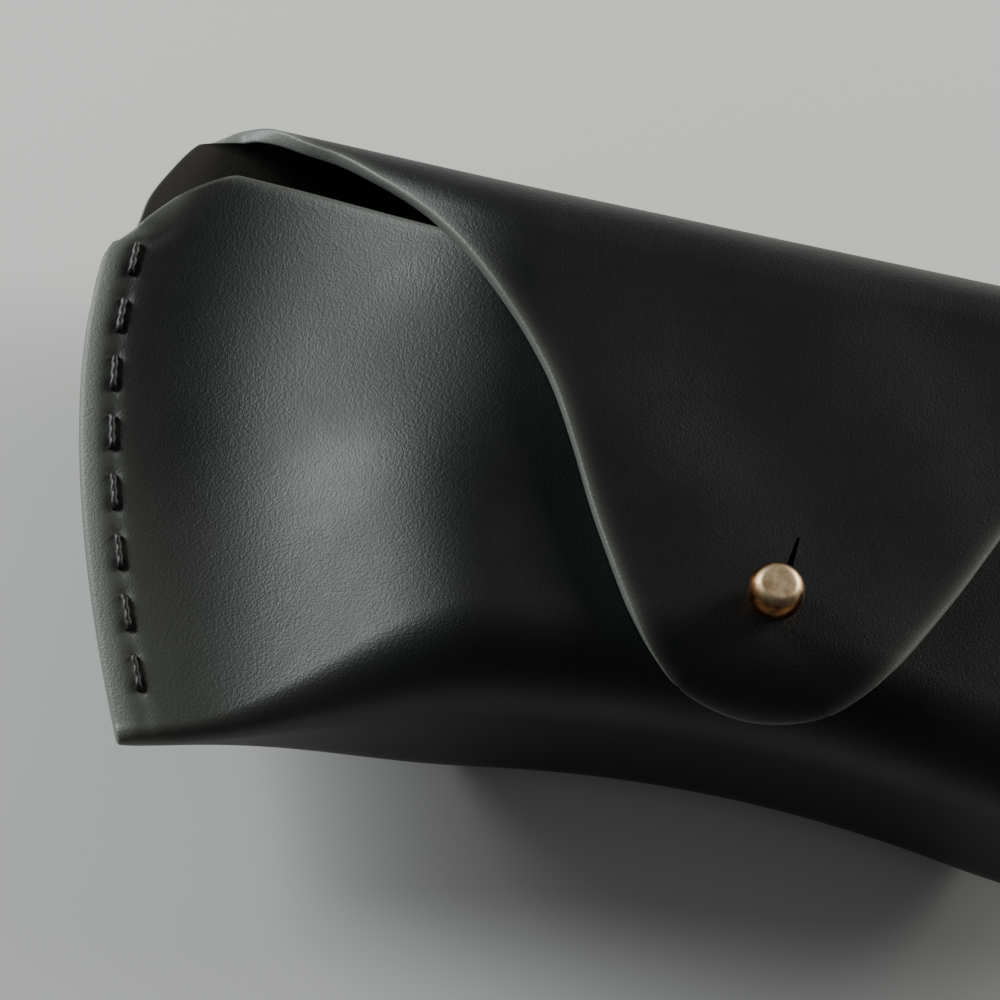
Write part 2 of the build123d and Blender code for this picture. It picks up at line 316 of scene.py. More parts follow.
def smooth_curve(points: Array, count: int) -> Array:
    """Centripetal Catmull-Rom curve through points, sampled evenly by length.

    Args:
        points: N x 2 points.
        count: how many samples.

    Returns:
        count x 2 samples from the first point to the last.
    """
    pts = np.asarray(points, float)
    pts = np.vstack([2 * pts[0] - pts[1], pts, 2 * pts[-1] - pts[-2]])
    knots = np.concatenate([[0], np.cumsum(np.sqrt(np.linalg.norm(np.diff(pts, axis=0), axis=1)))])
    x = np.linspace(knots[1], knots[-2], 40 * len(pts))
    i = np.clip(np.searchsorted(knots, x, side="right") - 1, 1, len(pts) - 3)
    k0, k1, k2, k3 = (knots[i + n][:, None] for n in (-1, 0, 1, 2))
    p0, p1, p2, p3 = (pts[i + n] for n in (-1, 0, 1, 2))
    x = x[:, None]
    a1 = (k1 - x) / (k1 - k0) * p0 + (x - k0) / (k1 - k0) * p1
    a2 = (k2 - x) / (k2 - k1) * p1 + (x - k1) / (k2 - k1) * p2
    a3 = (k3 - x) / (k3 - k2) * p2 + (x - k2) / (k3 - k2) * p3
    b1 = (k2 - x) / (k2 - k0) * a1 + (x - k0) / (k2 - k0) * a2
    b2 = (k3 - x) / (k3 - k1) * a2 + (x - k1) / (k3 - k1) * a3
    curve = (k2 - x) / (k2 - k1) * b1 + (x - k1) / (k2 - k1) * b2
    run = np.concatenate([[0], np.cumsum(np.linalg.norm(np.diff(curve, axis=0), axis=1))])
    at = np.linspace(0, run[-1], count)
    return np.stack([np.interp(at, run, curve[:, n]) for n in (0, 1)], 1)


def to_object(name: str, verts: Array, faces: list, **layers: Array) -> bpy.types.Object:
    """Makes a smooth-shaded mesh object at the origin from points in mm.

    Args:
        name: the piece's name.
        verts: N x 3 points in mm.
        faces: lists or arrays of vertex indices.
        layers: attribute names to their values at each vertex.

    Returns:
        The new object, linked to the scene.
    """
    mesh = bpy.data.meshes.new(name)
    mesh.from_pydata((np.asarray(verts) * MM).tolist(), [], [list(map(int, f)) for f in faces])
    mesh.polygons.foreach_set("use_smooth", np.ones(len(mesh.polygons), bool))
    for key, values in layers.items():
        layer = mesh.attributes.new(key, "FLOAT", "POINT")
        layer.data.foreach_set("value", np.asarray(values, np.float32))
    mesh.update()
    obj = bpy.data.objects.new(name, mesh)
    bpy.context.scene.collection.objects.link(obj)
    return obj


def grid_quads(rows: int, cols: int, first: int = 0, flip: bool = False) -> Array:
    """Quads of a rows x cols grid of vertices numbered row by row from first."""
    r, c = np.meshgrid(np.arange(rows - 1), np.arange(cols - 1), indexing="ij")
    a = first + r * cols + c
    quads = np.stack([a, a + 1, a + cols + 1, a + cols], -1).reshape(-1, 4)
    return quads[:, ::-1] if flip else quads


def hide_object(name: str, outer: Array, inner: Array, raw_ends: tuple[bool, bool],
                side_run: Array | float = WEAR_RUN) -> bpy.types.Object:
    """Closes a sheet of hide between its grain face and its flesh face.

    The two faces are grids. Round their rim runs a band whose section is a flat half oval: points
    go straight across the thickness and are pushed out of the sheet by a bulge that is full in
    the middle. A raw end joins another piece of the same hide, so its bulge is nothing.

    Args:
        name: the piece's name.
        outer: R x C x 3 points of the grain face, mm.
        inner: the same for the flesh face.
        raw_ends: whether the first and last rows are joints in the hide, not cut edges.
        side_run: mm in from the sides over which the grain is drawn lighter, at each point: dye
        thinned by handling near the cut edge, and a painted highlight where the run is long.

    Returns:
        The closed mesh as an object with a "face" attribute.
    """
    rows, cols = outer.shape[:2]
    count = rows * cols
    index = np.arange(count).reshape(rows, cols)
    rim = np.concatenate([index[0, :-1], index[:-1, -1], index[-1, :0:-1], index[:0:-1, 0]])
    inward = outer.copy()
    inward[0, 1:-1], inward[-1, 1:-1] = outer[1, 1:-1], outer[-2, 1:-1]
    inward[:, 0], inward[:, -1] = outer[:, 1], outer[:, -2]
    flat_outer, flat_inner = outer.reshape(-1, 3), inner.reshape(-1, 3)
    away = (flat_outer - inward.reshape(-1, 3))[rim]
    away /= np.maximum(np.linalg.norm(away, axis=1, keepdims=True), 1e-9)
    row_of, col_of = rim // cols, rim % cols
    raw = (raw_ends[0] & (row_of == 0)) | (raw_ends[1] & (row_of == rows - 1))
    bulge = np.where(raw & (col_of > 0) & (col_of < cols - 1), 0.0, EDGE_BULGE)
    shares = np.array([0.07, 0.2, 0.5, 0.8, 0.93])
    shape = (1 - np.abs(2 * shares - 1) ** 2.6) ** (1 / 2.2)
    a, b = flat_outer[rim], flat_inner[rim]
    band = [a + (b - a) * t + away * (bulge * h)[:, None] for t, h in zip(shares, shape)]
    verts = np.concatenate([flat_outer, flat_inner] + band)
    kind = np.concatenate([
        np.full(count, Face.GRAIN.value), np.full(count, Face.FLESH.value),
        np.full(len(rim) * len(band), Face.CUT.value),
    ])
    loops = [rim] + [2 * count + n * len(rim) + np.arange(len(rim)) for n in range(len(band))]
    loops.append(rim + count)
    sides = [
        np.stack([near, far, np.roll(far, -1), np.roll(near, -1)], -1)
        for near, far in zip(loops, loops[1:])
    ]
    faces = np.concatenate([grid_quads(rows, cols), grid_quads(rows, cols, count, True)] + sides)
    runs = [np.linalg.norm(outer - outer[:, [n]], axis=-1) / side_run for n in (0, -1)]
    runs += [
        np.linalg.norm(outer - outer[[n]], axis=-1) / WEAR_RUN
        for n, is_raw in zip((0, -1), raw_ends) if not is_raw
    ]
    # Share of the lighter colour: thinned dye near the cut edges, and a painted highlight where
    # side_run is long.
    rubbed_and_lit = np.exp(-np.min(runs, axis=0)).ravel()
    wear = np.concatenate([rubbed_and_lit, 0 * rubbed_and_lit, np.ones(len(rim) * len(band))])
    return to_object(name, verts, faces.tolist(), face=kind, wear=wear)


def cut(obj: bpy.types.Object, cutter: bpy.types.Object) -> None:
    """Cuts one mesh out of another with a boolean, applies it and removes the cutter."""
    modifier = obj.modifiers.new("cut", "BOOLEAN")
    modifier.operation, modifier.object, modifier.solver = "DIFFERENCE", cutter, "EXACT"
    bpy.context.view_layer.update()
    evaluated = obj.evaluated_get(bpy.context.evaluated_depsgraph_get())
    mesh = bpy.data.meshes.new_from_object(evaluated)
    obj.modifiers.clear()
    old, obj.data = obj.data, mesh
    bpy.data.meshes.remove(old)
    mesh.name = obj.name
    bpy.data.objects.remove(cutter)


def sharpen(obj: bpy.types.Object, degrees: float) -> None:
    """Marks edges sharper than an angle, so that smooth shading stops at them."""
    obj.data.set_sharp_from_angle(angle=math.radians(degrees))


def prism(name: str, outline: Array, low: float, high: float) -> bpy.types.Object:
    """Upright prism over a closed outline given in mm."""
    n = len(outline)
    flat = np.asarray(outline, float)
    verts = np.concatenate([np.c_[flat, np.full(n, low)], np.c_[flat, np.full(n, high)]])
    turn = np.arange(n)
    sides = np.stack([turn, np.roll(turn, -1), np.roll(turn, -1) + n, turn + n], -1).tolist()
    return to_object(name, verts, sides + [turn[::-1].tolist(), (turn + n).tolist()])


def tube(name: str, path: Array, side: Array, radius: float, ply: float) -> bpy.types.Object:
    """Twisted thread along a path.

    Each ring is a circle about a path point in the plane of the side direction and the one across
    both it and the path. Its radius swells twice round the ring, and that pattern turns once in
    every ply length, as two twisted plies do. Both ends close on a point.

    Args:
        name: the piece's name.
        path: N x 3 evenly spaced points, mm.
        side: N x 3 directions across the path.
        radius: mean radius, mm.
        ply: length of one turn of the twist, mm.

    Returns:
        The closed tube.
    """
    around = 10
    tangent = np.gradient(path, axis=0)
    tangent /= np.linalg.norm(tangent, axis=1, keepdims=True)
    up = np.cross(tangent, side)
    up /= np.linalg.norm(up, axis=1, keepdims=True)
    run = np.concatenate([[0], np.cumsum(np.linalg.norm(np.diff(path, axis=0), axis=1))])
    turn = np.linspace(0, 2 * np.pi, around, endpoint=False)
    r = radius * (1 + 0.14 * np.cos(2 * turn[None, :] - 2 * np.pi * run[:, None] / ply))
    offset = r[..., None] * (
        np.cos(turn)[None, :, None] * side[:, None, :] + np.sin(turn)[None, :, None] * up[:, None, :]
    )
    rings = path[:, None, :] + offset
    n = len(path)
    verts = np.concatenate([rings.reshape(-1, 3), path[:1], path[-1:]])
    ring, spot = np.meshgrid(np.arange(n - 1), np.arange(around), indexing="ij")
    a, b = ring * around + spot, ring * around + (spot + 1) % around
    faces = np.stack([a, a + around, b + around, b], -1).reshape(-1, 4).tolist()
    spots = np.arange(around)
    after = (spots + 1) % around
    last = (n - 1) * around
    faces += np.stack([np.full(around, n * around), spots, after], -1).tolist()
    faces += np.stack([np.full(around, n * around + 1), last + after, last + spots], -1).tolist()
    return to_object(name, verts, faces)


def turned(name: str, centre: tuple[float, float], profile: Array) -> bpy.types.Object:
    """Turned piece: a profile of (radius, height) carried round an upright axis.

    Args:
        name: the piece's name.
        centre: x and y of the axis, mm.
        profile: N x 2 points from the bottom on the axis to the top on the axis.

    Returns:
        The closed piece.
    """
    around = 64
    turn = np.linspace(0, 2 * np.pi, around, endpoint=False)
    mid = profile[1:-1]
    x = centre[0] + mid[:, :1] * np.cos(turn)
    y = centre[1] + mid[:, :1] * np.sin(turn)
    z = np.repeat(mid[:, 1:], around, axis=1)
    rings = np.stack([x, y, z], -1)
    ends = [(*centre, profile[0, 1]), (*centre, profile[-1, 1])]
    verts = np.concatenate([rings.reshape(-1, 3), np.array(ends)])
    n = len(mid)
    ring, spot = np.meshgrid(np.arange(n - 1), np.arange(around), indexing="ij")
    a, b = ring * around + spot, ring * around + (spot + 1) % around
    faces = np.stack([a, b, b + around, a + around], -1).reshape(-1, 4).tolist()
    spots = np.arange(around)
    after = (spots + 1) % around
    last = (n - 1) * around
    faces += np.stack([np.full(around, n * around), after, spots], -1).tolist()
    faces += np.stack([np.full(around, n * around + 1), last + spots, last + after], -1).tolist()
    return to_object(name, verts, faces)


def srgb(code: str) -> tuple[float, float, float, float]:
    """Linear colour of an sRGB hex code."""
    channel = np.array([int(code[n:n + 2], 16) for n in (1, 3, 5)]) / 255
    linear = np.where(channel <= 0.04045, channel / 12.92, ((channel + 0.055) / 1.055) ** 2.4)
    return (*(float(c) for c in linear), 1.0)


def per_mm(size: float) -> float:
    """Texture scale, per metre, at which one cell measures size in mm."""
    return 1 / (size * MM)


def add_node(tree: bpy.types.NodeTree, kind: str, inputs: dict, **settings: object) -> bpy.types.Node:
    """Adds a node, then sets or links its inputs.

    Args:
        tree: the material's node tree.
        kind: the node's type name.
        inputs: socket name or number to a value, or to the output socket that feeds it.
        settings: the node's own properties.

    Returns:
        The new node.
    """
    node = tree.nodes.new(kind)
    for key, value in settings.items():
        setattr(node, key, value)
    for key, value in inputs.items():
        if isinstance(value, bpy.types.NodeSocket):
            tree.links.new(value, node.inputs[key])
        else:
            node.inputs[key].default_value = value
    return node


def new_material(name: str) -> tuple[bpy.types.Material, bpy.types.NodeTree]:
    """Empty node material with only its output node."""
    material = bpy.data.materials.new(name)
    material.use_nodes = True
    material.node_tree.nodes.clear()
    return material, material.node_tree


@dataclass(frozen=True)
class DyedHide:
    """Vegetable-tanned cowhide, dyed black, pebbled and waxed; its cut edges are burnished grey.

    The grain breaks highlights into fine sparkle, and the wax gives them broad cool edges. The
    pebble and the pores are finer on real hide, and are drawn this coarse so that they show.
    """

    name: str = "black_bridle_hide"
    black: str = "#08090a"
    cloud: str = "#0e1011"
    # Lighter grey drawn by the cut edges where handling thins the dye, and spread over the pouch's
    # lower flanges as a painted highlight where light falls on them.
    worn_and_lit: str = "#5b5d57"
    cut_edge: str = "#666a66"
    flesh: str = "#2c2824"
    pebble_mm: float = 0.36
    pore_mm: float = 0.17
    cloud_mm: float = 13.0
    crease_mm: float = 2.6
    relief_mm: float = 0.04

    def build(self) -> bpy.types.Material:
        """Builds the material.

        Returns:
            The hide's material.
        """
        material, tree = new_material(self.name)
        place = add_node(tree, "ShaderNodeTexCoord", {}).outputs["Object"]
        face = add_node(tree, "ShaderNodeAttribute", {}, attribute_name="face").outputs["Fac"]
        wear = add_node(tree, "ShaderNodeAttribute", {}, attribute_name="wear").outputs["Fac"]
        is_cut = add_node(tree, "ShaderNodeMapRange", {
            "Value": face, "From Min": 0.12, "From Max": 0.42}).outputs[0]
        is_flesh = add_node(tree, "ShaderNodeMapRange", {
            "Value": face, "From Min": 0.6, "From Max": 0.9}).outputs[0]
        pebble = add_node(tree, "ShaderNodeTexVoronoi", {
            "Vector": place, "Scale": per_mm(self.pebble_mm), "Smoothness": 0.55},
            feature="SMOOTH_F1").outputs["Distance"]
        pore = add_node(tree, "ShaderNodeTexNoise", {
            "Vector": place, "Scale": per_mm(self.pore_mm), "Detail": 2.0}).outputs["Fac"]
        cloud = add_node(tree, "ShaderNodeTexNoise", {
            "Vector": place, "Scale": per_mm(self.cloud_mm), "Detail": 4.0,
            "Roughness": 0.6}).outputs["Fac"]
        crease = add_node(tree, "ShaderNodeTexNoise", {
            "Vector": place, "Scale": per_mm(self.crease_mm), "Detail": 3.0,
            "Distortion": 0.6}).outputs["Fac"]
        cloudy = add_node(tree, "ShaderNodeMapRange", {
            "Value": cloud, "From Min": 0.35, "From Max": 0.68}).outputs[0]
        dyed = self.mix(tree, cloudy, srgb(self.black), srgb(self.cloud))
        # Thinned dye at the edges and a painted highlight on the lower flanges, mixed in by one
        # attribute.
        rubbed_and_lit = self.mix(tree, wear, dyed, srgb(self.worn_and_lit))
        edged = self.mix(tree, is_cut, rubbed_and_lit, srgb(self.cut_edge))
        colour = self.mix(tree, is_flesh, edged, srgb(self.flesh))
        height = add_node(tree, "ShaderNodeMath", {0: pebble, 1: -0.75, 2: pore},
                          operation="MULTIPLY_ADD").outputs[0]
        height = add_node(tree, "ShaderNodeMath", {0: crease, 1: 0.2, 2: height},
                          operation="MULTIPLY_ADD").outputs[0]
        bump = add_node(tree, "ShaderNodeBump", {
            "Height": height, "Strength": 0.85, "Distance": self.relief_mm * MM}).outputs[0]
        gloss = add_node(tree, "ShaderNodeMapRange", {
            "Value": cloud, "From Min": 0.3, "From Max": 0.7, "To Min": 0.5,
            "To Max": 0.4}).outputs[0]
        roughness = add_node(tree, "ShaderNodeMath", {0: is_flesh, 1: 0.4, 2: gloss},
                             operation="MULTIPLY_ADD").outputs[0]
        shader = add_node(tree, "ShaderNodeBsdfPrincipled", {
            "Base Color": colour, "Roughness": roughness, "Normal": bump, "IOR": 1.46,
            "Coat Weight": 0.04, "Coat Roughness": 0.3})
        add_node(tree, "ShaderNodeOutputMaterial", {"Surface": shader.outputs[0]})
        return material

    @staticmethod
    def mix(tree: bpy.types.NodeTree, share: object, low: object, high: object) -> object:
        """Colour output of a mix of two colours or sockets by a share."""
        node = add_node(tree, "ShaderNodeMix", {0: share, 6: low, 7: high}, data_type="RGBA")
        return node.outputs[2]


@dataclass(frozen=True)
class WaxedThread:
    """Black linen thread pulled through wax: dull, with greyish fibres along its plies."""

    name: str = "waxed_linen_thread"
    dark: str = "#0e0e0e"
    fibre: str = "#3b3a37"
    fibre_mm: float = 0.25

    def build(self) -> bpy.types.Material:
        """Builds the material.

        Returns:
            The thread's material.
        """
        material, tree = new_material(self.name)
        place = add_node(tree, "ShaderNodeTexCoord", {}).outputs["Object"]
        noise = add_node(tree, "ShaderNodeTexNoise", {
            "Vector": place, "Scale": per_mm(self.fibre_mm), "Detail": 3.0}).outputs["Fac"]
        share = add_node(tree, "ShaderNodeMapRange", {
            "Value": noise, "From Min": 0.4, "From Max": 0.7}).outputs[0]
        colour = DyedHide.mix(tree, share, srgb(self.dark), srgb(self.fibre))
        bump = add_node(tree, "ShaderNodeBump", {
            "Height": noise, "Strength": 0.5, "Distance": 0.03 * MM}).outputs[0]
        shader = add_node(tree, "ShaderNodeBsdfPrincipled", {
            "Base Color": colour, "Roughness": 0.5, "Normal": bump})
        add_node(tree, "ShaderNodeOutputMaterial", {"Surface": shader.outputs[0]})
        return material


@dataclass(frozen=True)
class AgedBrass:
    """Turned brass gone brown with handling; its top is pale with polish and a painted highlight."""

    name: str
    bright_above: float
    brass: str = "#94683f"
    patina: str = "#3c281a"
    # Pale colour of the flat top: polish from the flap, made paler still as a painted highlight.
    rubbed_and_lit: str = "#e6cfae"
    dull: str = "#b09470"
    stain_mm: float = 1.6
    scratch_mm: float = 0.12

    def build(self) -> bpy.types.Material:
        """Builds the material.

        Returns:
            The brass material, brightest above the height bright_above, in mm.
        """
        material, tree = new_material(self.name)
        place = add_node(tree, "ShaderNodeTexCoord", {}).outputs["Object"]
        stain = add_node(tree, "ShaderNodeTexNoise", {
            "Vector": place, "Scale": per_mm(self.stain_mm), "Detail": 4.0}).outputs["Fac"]
        scratch = add_node(tree, "ShaderNodeTexNoise", {
            "Vector": place, "Scale": per_mm(self.scratch_mm), "Detail": 1.0}).outputs["Fac"]
        share = add_node(tree, "ShaderNodeMapRange", {
            "Value": stain, "From Min": 0.35, "From Max": 0.65}).outputs[0]
        tarnished = DyedHide.mix(tree, share, srgb(self.brass), srgb(self.patina))
        height = add_node(tree, "ShaderNodeSeparateXYZ", {0: place}).outputs["Z"]
        top = self.bright_above * MM
        # Flat top found by height: polished there, and painted paler as a highlight where light falls
        # on it.
        rubbed_and_lit = add_node(tree, "ShaderNodeMapRange", {
            "Value": height, "From Min": top - 0.9 * MM, "From Max": top}).outputs[0]
        worn_and_lit = DyedHide.mix(tree, share, srgb(self.rubbed_and_lit), srgb(self.dull))
        colour = DyedHide.mix(tree, rubbed_and_lit, tarnished, worn_and_lit)
        bump = add_node(tree, "ShaderNodeBump", {
            "Height": scratch, "Strength": 0.3, "Distance": 0.01 * MM}).outputs[0]
        roughness = add_node(tree, "ShaderNodeMapRange", {
            "Value": rubbed_and_lit, "To Min": 0.3, "To Max": 0.55}).outputs[0]
        shader = add_node(tree, "ShaderNodeBsdfPrincipled", {
            "Base Color": colour, "Metallic": 1.0, "Roughness": roughness, "Normal": bump})
        add_node(tree, "ShaderNodeOutputMaterial", {"Surface": shader.outputs[0]})
        return material


@dataclass(frozen=True)
class PaintedBoard:
    """Matt pale board under the case."""

    name: str = "pale_board"
    colour: str = "#f1f1ef"
    mottle_mm: float = 30.0

    def build(self) -> bpy.types.Material:
        """Builds the material.

        Returns:
            The floor's material.
        """
        material, tree = new_material(self.name)
        place = add_node(tree, "ShaderNodeTexCoord", {}).outputs["Object"]
        mottle = add_node(tree, "ShaderNodeTexNoise", {
            "Vector": place, "Scale": per_mm(self.mottle_mm)}).outputs["Fac"]
        roughness = add_node(tree, "ShaderNodeMapRange", {
            "Value": mottle, "To Min": 0.6, "To Max": 0.7}).outputs[0]
        shader = add_node(tree, "ShaderNodeBsdfPrincipled", {
            "Base Color": srgb(self.colour), "Roughness": roughness})
        add_node(tree, "ShaderNodeOutputMaterial", {"Surface": shader.outputs[0]})
        return material


def dress(obj: bpy.types.Object, material: bpy.types.Material) -> None:
    """Gives an object one material in place of what it has."""
    obj.data.materials.clear()
    obj.data.materials.append(material)


@dataclass(frozen=True)
class Columns:
    """Places across a sheet, from one cut edge to the other, closer together by the edges."""

    middle: int = 45
    edge: int = 22
    edge_from: float = 0.9

    def shares(self) -> Array:
        """Shares of the half width, -1 to 1."""
        inner = np.linspace(0, self.edge_from, self.middle + 1)
        outer = np.linspace(self.edge_from, 1, self.edge + 1)[1:]
        half = np.concatenate([inner, outer])
        return np.concatenate([-half[:0:-1], half])


def wobble(x: Array, y: Array) -> Array:
    """Slow unevenness of used leather, mm: a sum of four crossed sine waves 30 to 70 mm long."""
    return (
        0.22 * np.sin(x / 9.0 + 0.8) * np.sin(y / 8.0 + 0.3)
        + 0.16 * np.sin((x + y) / 6.1 + 2.0)
        + 0.12 * np.sin((x - 1.7 * y) / 7.3 + 1.1)
        + 0.10 * np.cos((2 * x + y) / 11.0)
    )


@dataclass
class Pouch:
    """The sewn pouch: one hide folded at the bottom, and the lower part of the back.

    Its ends are drawn lighter further in toward their lower corners: a painted highlight where
    light falls on the flanges, over dye thinned by handling along the cut edges.
    """

    sizes: CaseSizes
    columns: Columns
    hole_count: int = 16
    hole_pitch: float = 4.0
    first_hole: float = -1.8
    hole_inset: float = 3.7
    dimple: float = 0.4
    dimple_r: float = 0.8
    groove: float = 0.22
    groove_r: float = 1.1
    roll: float = 1.0
    roll_run: float = 4.6
    # Widths of the lighter strip by the sewn ends, at the notch and at the lower corners, mm: the
    # wide part is a painted highlight, not thinned dye.
    wear_top: float = 2.0
    wear_low: float = 13.0

    def holes(self) -> Array:
        """Stitch holes on the right side at an even pitch, parallel to the flange's cut edge.

        Returns:
            N x 2 places, x and y from the notch, mm.
        """
        fine = np.linspace(self.first_hole, self.first_hole - 70, 2800)
        x = self.sizes.flange_x(fine) - self.hole_inset
        run = np.concatenate([[0], np.cumsum(np.hypot(np.diff(x), np.diff(fine)))])
        at = np.arange(self.hole_count) * self.hole_pitch
        return np.stack([np.interp(at, run, x), np.interp(at, run, fine)], 1)

    def surface(self, inset: float) -> Array:
        """One face of the hide as a grid, with stitch dimples and the leather's unevenness.

        The sewing presses both sides in, and its relief fades to nothing round the bottom turns.
        The rows run along the pouch outline and the columns across it. The place across the
        width and the height depend on each other, so they are settled in a few rounds.

        Args:
            inset: distance inside the outer face, mm.

        Returns:
            R x C x 3 points, mm.
        """
        s = self.sizes
        steps = [np.linspace(0, 1, 118), 1 + np.linspace(0, 1, 18)[1:], 2 + np.linspace(0, 1, 7)[1:],
                 3 + np.linspace(0, 1, 14)[1:], 4 + np.linspace(0, 1, 60)[1:]]
        q, u = np.meshgrid(np.concatenate(steps), self.columns.shares(), indexing="ij")
        row = u * s.seam_share
        for _ in range(5):
            y, z = pouch_section(s, row, q, inset)
            x = u * s.edge_x(y)
            row = s.row(x, y)
        on_front = np.clip(2 - q, 0, 1)
        z = z + wobble(x, y) * s.swell(row) * on_front
        if inset == 0:
            sunk = self.sewn_relief(x, y) * np.clip(np.abs(q - 2.5) - 0.5, 0, 1)
            z = z + np.where(q < 2.5, -sunk, sunk)
        return np.stack([x, y + s.notch_y, z], -1)

    def sewn_relief(self, x: Array, y: Array) -> Array:
        """How far the flange's face is pressed in by the sewing.

        It is the sum of a dimple at each hole, a groove along the stitches, and a worn edge that
        rolls off by the square of the way out from the groove. All fade out above the notch.

        Args:
            x: places across the width, mm.
            y: heights from the notch, mm.

        Returns:
            Depths in mm.
        """
        holes = self.holes()
        gap = np.hypot(np.abs(x)[..., None] - holes[:, 0], y[..., None] - holes[:, 1]).min(-1)
        from_edge = self.sizes.edge_x(y) - np.abs(x)
        off_line = (from_edge - self.hole_inset) / self.groove_r
        rolled = np.clip(1 - from_edge / self.roll_run, 0, 1) ** 2
        fade = np.clip(1 - (y + 1) / 3, 0, 1)
        pressed = self.groove * np.exp(-(off_line**2)) + self.roll * rolled
        return self.dimple * np.exp(-((gap / self.dimple_r) ** 2)) + pressed * fade

    def build(self, hide: bpy.types.Material) -> bpy.types.Object:
        """Builds the pouch and lets it stand for the plain CAD one.

        Args:
            hide: the leather's material.

        Returns:
            The pouch.
        """
        outer, inner = self.surface(0.0), self.surface(self.sizes.leather - FLESH_SKIVE)
        # The lighter strip by the sewn ends widens toward the lower corners; beyond the thinned dye
        # at the cut edge it is a painted highlight where light falls on the flanges.
        down = np.clip((self.sizes.notch_y - outer[..., 1]) / self.sizes.corner_drop, 0, 1)
        wear_and_light_run = self.wear_top + (self.wear_low - self.wear_top) * down**2
        obj = hide_object("pouch_hide", outer, inner, (False, True), wear_and_light_run)
        sharpen(obj, SHARP)
        dress(obj, hide)
        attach(obj, "case")
        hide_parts("pouch")
        return obj


@dataclass
class Flap:
    """The flap: back of the case, over the hood, down the front to the tongue."""

    sizes: CaseSizes
    columns: Columns
    pouch: Pouch
    neck_hole_r: float = 2.2
    slit_width: float = 1.1
    slit_tip: float = 0.35
    slit_end: float = 9.0
    slit_from: float = 1.1
    slit_lean: float = 2.0
    tip_corner: float = 9.0
    hood_run: float = 25.0
    tip_run: float = 24.0
    back_rows: int = 90
    front_rows: int = 250

    def edge(self) -> Array:
        """Cut edge of the right half on the flat hide: length up from the split, and half width.

        It runs up the flange to the notch, in round the end of the hood, and down the front in one
        long double curve to the tongue's tip, which it meets square on.

        Returns:
            N x 2 points, mm.
        """
        s = self.sizes
        half, notch = s.flange_half, s.split_drop
        points = [
            (0.0, half), (7.0, half), (10.8, half - 0.9), (notch, half - s.notch_depth), (18.0, 83.3),
            (22.2, 81.5), (26.6, 78.9), (30.0, 75.0), (34.5, 70.4), (39.2, 65.9), (43.0, 61.1),
            (49.5, 55.1), (56.6, 48.9), (69.6, 38.9), (80.3, 30.9), (88.6, 26.4), (98.2, 21.8),
            (109.8, 15.3), (114.1, 12.0), (117.4, 8.0), (119.4, 0.0), (117.4, -8.0),
        ]
        curve = smooth_curve(np.array(points), 1600)
        return curve[curve[:, 1] >= 0]

    def surface(self, inset: float, count: int, to_tip: bool) -> Array:
        """One face of part of the flap as a grid of rows across the hide.

        A row's ends lie on the cut edge. The row at the hood's middle follows the fold's line, and
        the last one the tongue's round tip. Rows between pass from one shape to the other.

        Args:
            inset: distance inside the outer face, mm.
            count: rows of the grid.
            to_tip: whether the part runs from the hood to the tip, or from the start to the hood.

        Returns:
            count x C x 3 points, mm.
        """
        s = self.sizes
        edge = self.edge()
        share = s.seam_share / s.flange_half

        def hood_middle(x: Array) -> Array:
            """Length on the flat hide at the middle of the hood."""
            back, root, hood = s.flap_lengths(x * share)[:3]
            return back + root + hood / 2

        at_hood = int(np.argmax(edge[:, 0] >= hood_middle(edge[:, 1])))
        corner = int(np.argmax((edge[:, 1] < self.tip_corner) & (edge[:, 0] > 100)))
        part = edge[at_hood:corner + 1] if to_tip else edge[:at_hood + 1]
        run = np.concatenate([[0], np.cumsum(np.hypot(*np.diff(part, axis=0).T))])
        at = np.linspace(0, run[-1], count)
        up, half = np.interp(at, run, part[:, 0])[:, None], np.interp(at, run, part[:, 1])[:, None]
        x = half * self.columns.shares()[None, :]
        to_hood = hood_middle(np.abs(x)) - hood_middle(half)
        if to_tip:
            hood_share = np.clip(1 - (up - up[0]) / self.hood_run, 0, 1) ** 2
            tip = edge[corner:][::-1]
            to_curve = np.interp(np.abs(x), tip[:, 1], tip[:, 0]) - edge[corner, 0]
            tip_share = np.clip((up - up[-1]) / self.tip_run + 1, 0, 1) ** 1.5
            length = up + to_hood * hood_share + to_curve * tip_share
        else:
            hood_share = np.clip(1 + (up - up[-1]) / self.hood_run, 0, 1) ** 2
            length = up + to_hood * hood_share
        row = x * share
        for _ in range(6):
            q = s.flap_place(row, length)
            y, z = flap_section(s, row, q, inset)
            row = s.row(x, y)
        on_front = np.clip(q - 3.5, 0, 1) * np.clip(6 - q, 0, 1)
        z = z + wobble(x, y) * s.swell(row) * on_front
        if inset == 0 and not to_tip:
            z = z + self.pouch.sewn_relief(x, y)
        return np.stack([x, y + s.notch_y, z], -1)

    def build_back(self, hide: bpy.types.Material) -> bpy.types.Object:
        """Builds the part that bends at the root fold.

        Args:
            hide: the leather's material.

        Returns:
            The upper back with half of the hood.
        """
        outer = self.surface(0.0, self.back_rows, False)
        inner = self.surface(self.sizes.leather - FLESH_SKIVE, self.back_rows, False)
        obj = hide_object("hood_back_hide", outer, inner, (True, True))
        sharpen(obj, SHARP)
        dress(obj, hide)
        self.bend_between(obj)
        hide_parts("flap_root_fold")
        return obj

    def build_front(self, hide: bpy.types.Material) -> bpy.types.Object:
        """Builds the part that bends at the brow fold, with the keyhole cut through the tongue.

        Args:
            hide: the leather's material.

        Returns:
            The other half of the hood with the flap's front and tongue.
        """
        outer = self.surface(0.0, self.front_rows, True)
        inner = self.surface(self.sizes.leather - FLESH_SKIVE, self.front_rows, True)
        obj = hide_object("flap_hide", outer, inner, (True, False))
        self.cut_keyhole(obj)
        sharpen(obj, SHARP)
        dress(obj, hide)
        self.bend_between(obj)
        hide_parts("hood", "flap_brow_fold", "flap")
        return obj

